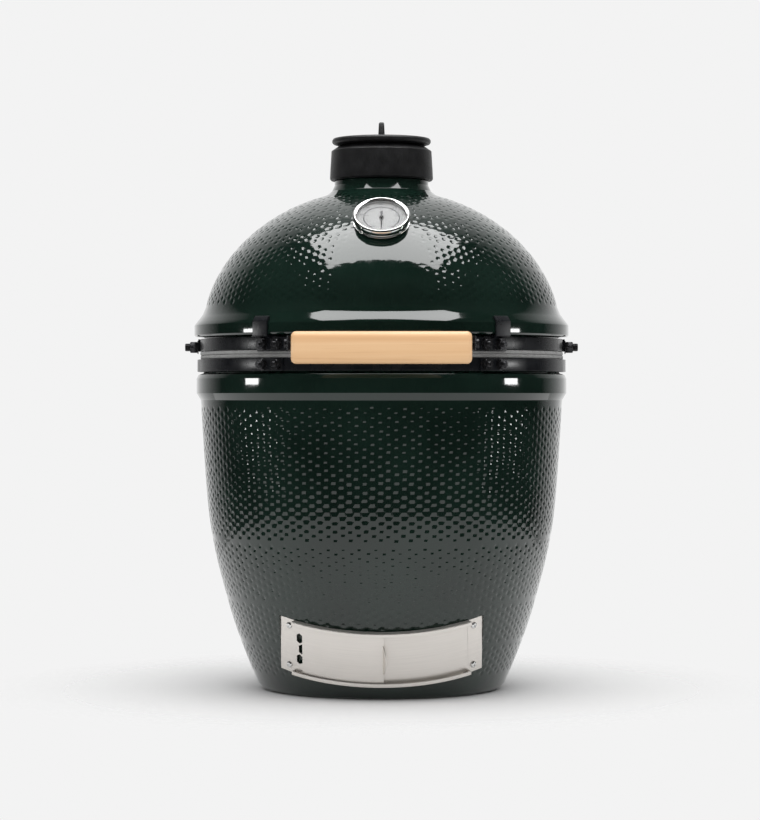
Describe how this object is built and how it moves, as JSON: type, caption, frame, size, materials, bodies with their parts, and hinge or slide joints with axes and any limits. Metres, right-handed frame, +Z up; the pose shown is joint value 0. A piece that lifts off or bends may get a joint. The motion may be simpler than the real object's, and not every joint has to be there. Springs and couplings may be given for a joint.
{
  "type": "kamado ceramic grill",
  "caption": "Egg-shaped ceramic charcoal grill with a hinged dome lid, front handle, dial thermometer, turning top vent and sliding air door.",
  "frame": {"origin": "middle of the flat foot, on the surface that the grill stands on", "axes": "+Z up through the chimney, -Y towards the handle, dial and air door, +X to the right of someone standing behind the camera"},
  "size_m": [0.5858, 0.6854, 0.84],
  "materials": {
    "green_glaze": "deep green gloss glaze over a dimpled ceramic body",
    "fireclay": "unglazed matt fired clay",
    "felt": "pressed grey felt",
    "black_steel": "satin black powder coat",
    "black_fastener": "black oxide on steel",
    "cast_iron": "black painted casting, satin",
    "stainless": "brushed stainless sheet",
    "bright_steel": "polished stainless",
    "spring_steel": "zinc-plated spring wire",
    "handle_wood": "light oiled hardwood",
    "gauge_glass": "clear flat glass",
    "dial_white": "satin silver-white dial",
    "needle_black": "matt black"
  },
  "bodies": {
    "base": {"base_shell": "green_glaze", "fire_box": "fireclay", "fire_ring": "fireclay", "fire_grate": "cast_iron", "cooking_grid": "stainless", "lower_gasket": "felt", "lower_band_front": "black_steel", "lower_band_rear": "black_steel", "lower_band_bolt_1": "black_fastener", "lower_band_bolt_2": "black_fastener", "lower_band_bolt_3": "black_fastener", "lower_band_bolt_4": "black_fastener", "hinge_lower_bracket": "black_steel", "hinge_lower_bolt_left": "black_fastener", "hinge_lower_bolt_right": "black_fastener", "hinge_pin_left": "black_fastener", "hinge_pin_right": "black_fastener", "hinge_spring_left": "spring_steel", "hinge_spring_right": "spring_steel", "draft_frame": "stainless", "draft_screw_1": "bright_steel", "draft_screw_2": "bright_steel", "draft_screw_3": "bright_steel", "draft_screw_4": "bright_steel"},
    "draft_door": {"draft_door": "stainless"},
    "draft_screen": {"draft_screen": "stainless"},
    "lid": {"dome_shell": "green_glaze", "upper_gasket": "felt", "upper_band_front": "black_steel", "upper_band_rear": "black_steel", "side_bolt_left": "black_fastener", "side_bolt_right": "black_fastener", "handle_bracket_left": "black_steel", "handle_bracket_right": "black_steel", "bracket_bolt_1": "black_fastener", "bracket_bolt_2": "black_fastener", "bracket_bolt_3": "black_fastener", "bracket_bolt_4": "black_fastener", "handle_bar": "handle_wood", "handle_screw_left": "black_fastener", "handle_screw_right": "black_fastener", "hinge_upper_bracket": "black_steel", "hinge_upper_bolt_left": "black_fastener", "hinge_upper_bolt_right": "black_fastener", "gauge_case": "bright_steel", "gauge_bezel": "bright_steel", "gauge_glass": "gauge_glass", "gauge_dial": "dial_white", "gauge_stem": "bright_steel", "gauge_nut": "bright_steel", "cap_collar": "cast_iron", "cap_gasket": "felt", "cap_pivot_bolt": "black_fastener"},
    "gauge_needle": {"gauge_needle": "needle_black"},
    "cap_plate": {"cap_plate": "cast_iron"},
    "vent_rotor": {"vent_rotor": "cast_iron"}
  },
  "joints": [
    {"name": "lid_hinge", "type": "hinge", "parent": "base", "child": "lid", "pos_m": [0, 0.305, 0.495], "axis": [-1, 0, 0], "range_deg": [0, 75], "deforming": ["hinge_spring_left", "hinge_spring_right"]},
    {"name": "needle_turn", "type": "hinge", "parent": "lid", "child": "gauge_needle", "pos_m": [0, -0.19156, 0.68955], "axis": [0, 0.6561, -0.7547], "range_deg": [0, 300]},
    {"name": "cap_swing", "type": "hinge", "parent": "lid", "child": "cap_plate", "pos_m": [0, 0.057, 0.8095], "axis": [0, 0, 1], "range_deg": [0, 110]},
    {"name": "vent_turn", "type": "hinge", "parent": "cap_plate", "child": "vent_rotor", "pos_m": [0, 0, 0.8138], "axis": [0, 0, 1], "range_deg": [0, 36]},
    {"name": "draft_door_slide", "type": "hinge", "parent": "base", "child": "draft_door", "pos_m": [0, -0.0109, 0.1373], "axis": [0, -0.3584, 0.9336], "range_deg": [0, 33.5]},
    {"name": "draft_screen_slide", "type": "hinge", "parent": "base", "child": "draft_screen", "pos_m": [0, -0.0109, 0.1373], "axis": [0, -0.3584, 0.9336], "range_deg": [0, 34.5]}
  ]
}
